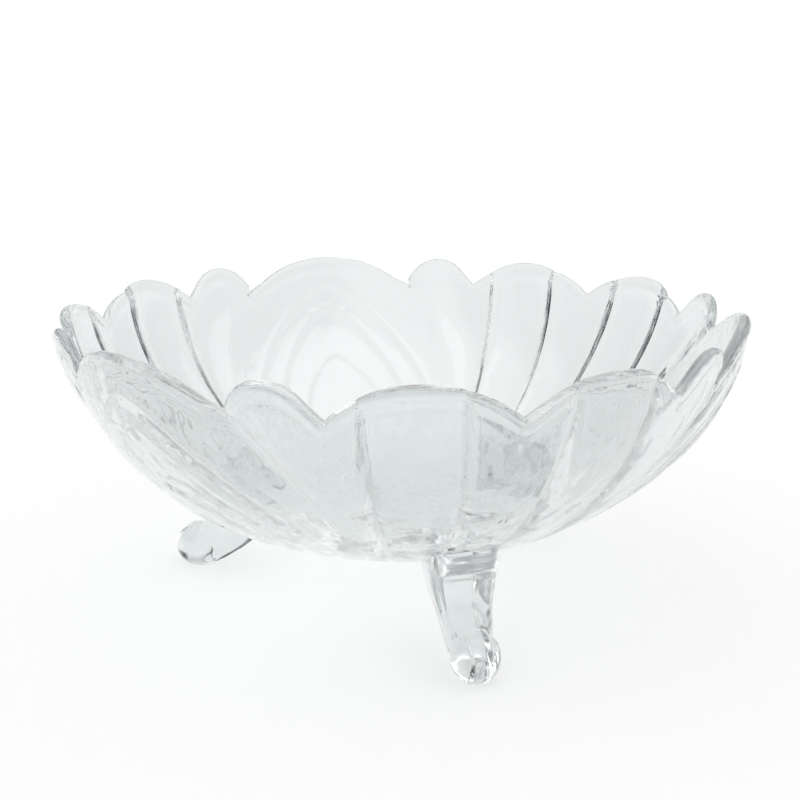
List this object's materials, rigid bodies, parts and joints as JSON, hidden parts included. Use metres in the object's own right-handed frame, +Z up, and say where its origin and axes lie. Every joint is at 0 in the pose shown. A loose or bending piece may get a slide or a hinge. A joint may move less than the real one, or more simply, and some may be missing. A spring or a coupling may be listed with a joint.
{
  "type": "footed floating candle bowl",
  "caption": "Wide oval-sided glass bowl with a scalloped rim, fluted wall and petal relief, standing on scroll feet, for water with floating candles.",
  "frame": {"origin": "on the bowl's axis, at the level of the table that the feet stand on", "axes": "+Z up along the bowl's axis, -Y towards the front foot, +X to the right seen from that foot"},
  "size_m": [0.254, 0.2527, 0.1131],
  "materials": {
    "bowl_glass": "clear pressed glass, fire polished, with a faint cool tint where it is thick",
    "foot_glass": "clear pressed glass, fire polished, the same melt as the bowl"
  },
  "bodies": {
    "root": {"bowl": "bowl_glass", "foot_front": "foot_glass", "foot_right": "foot_glass", "foot_left": "foot_glass"}
  },
  "joints": []
}
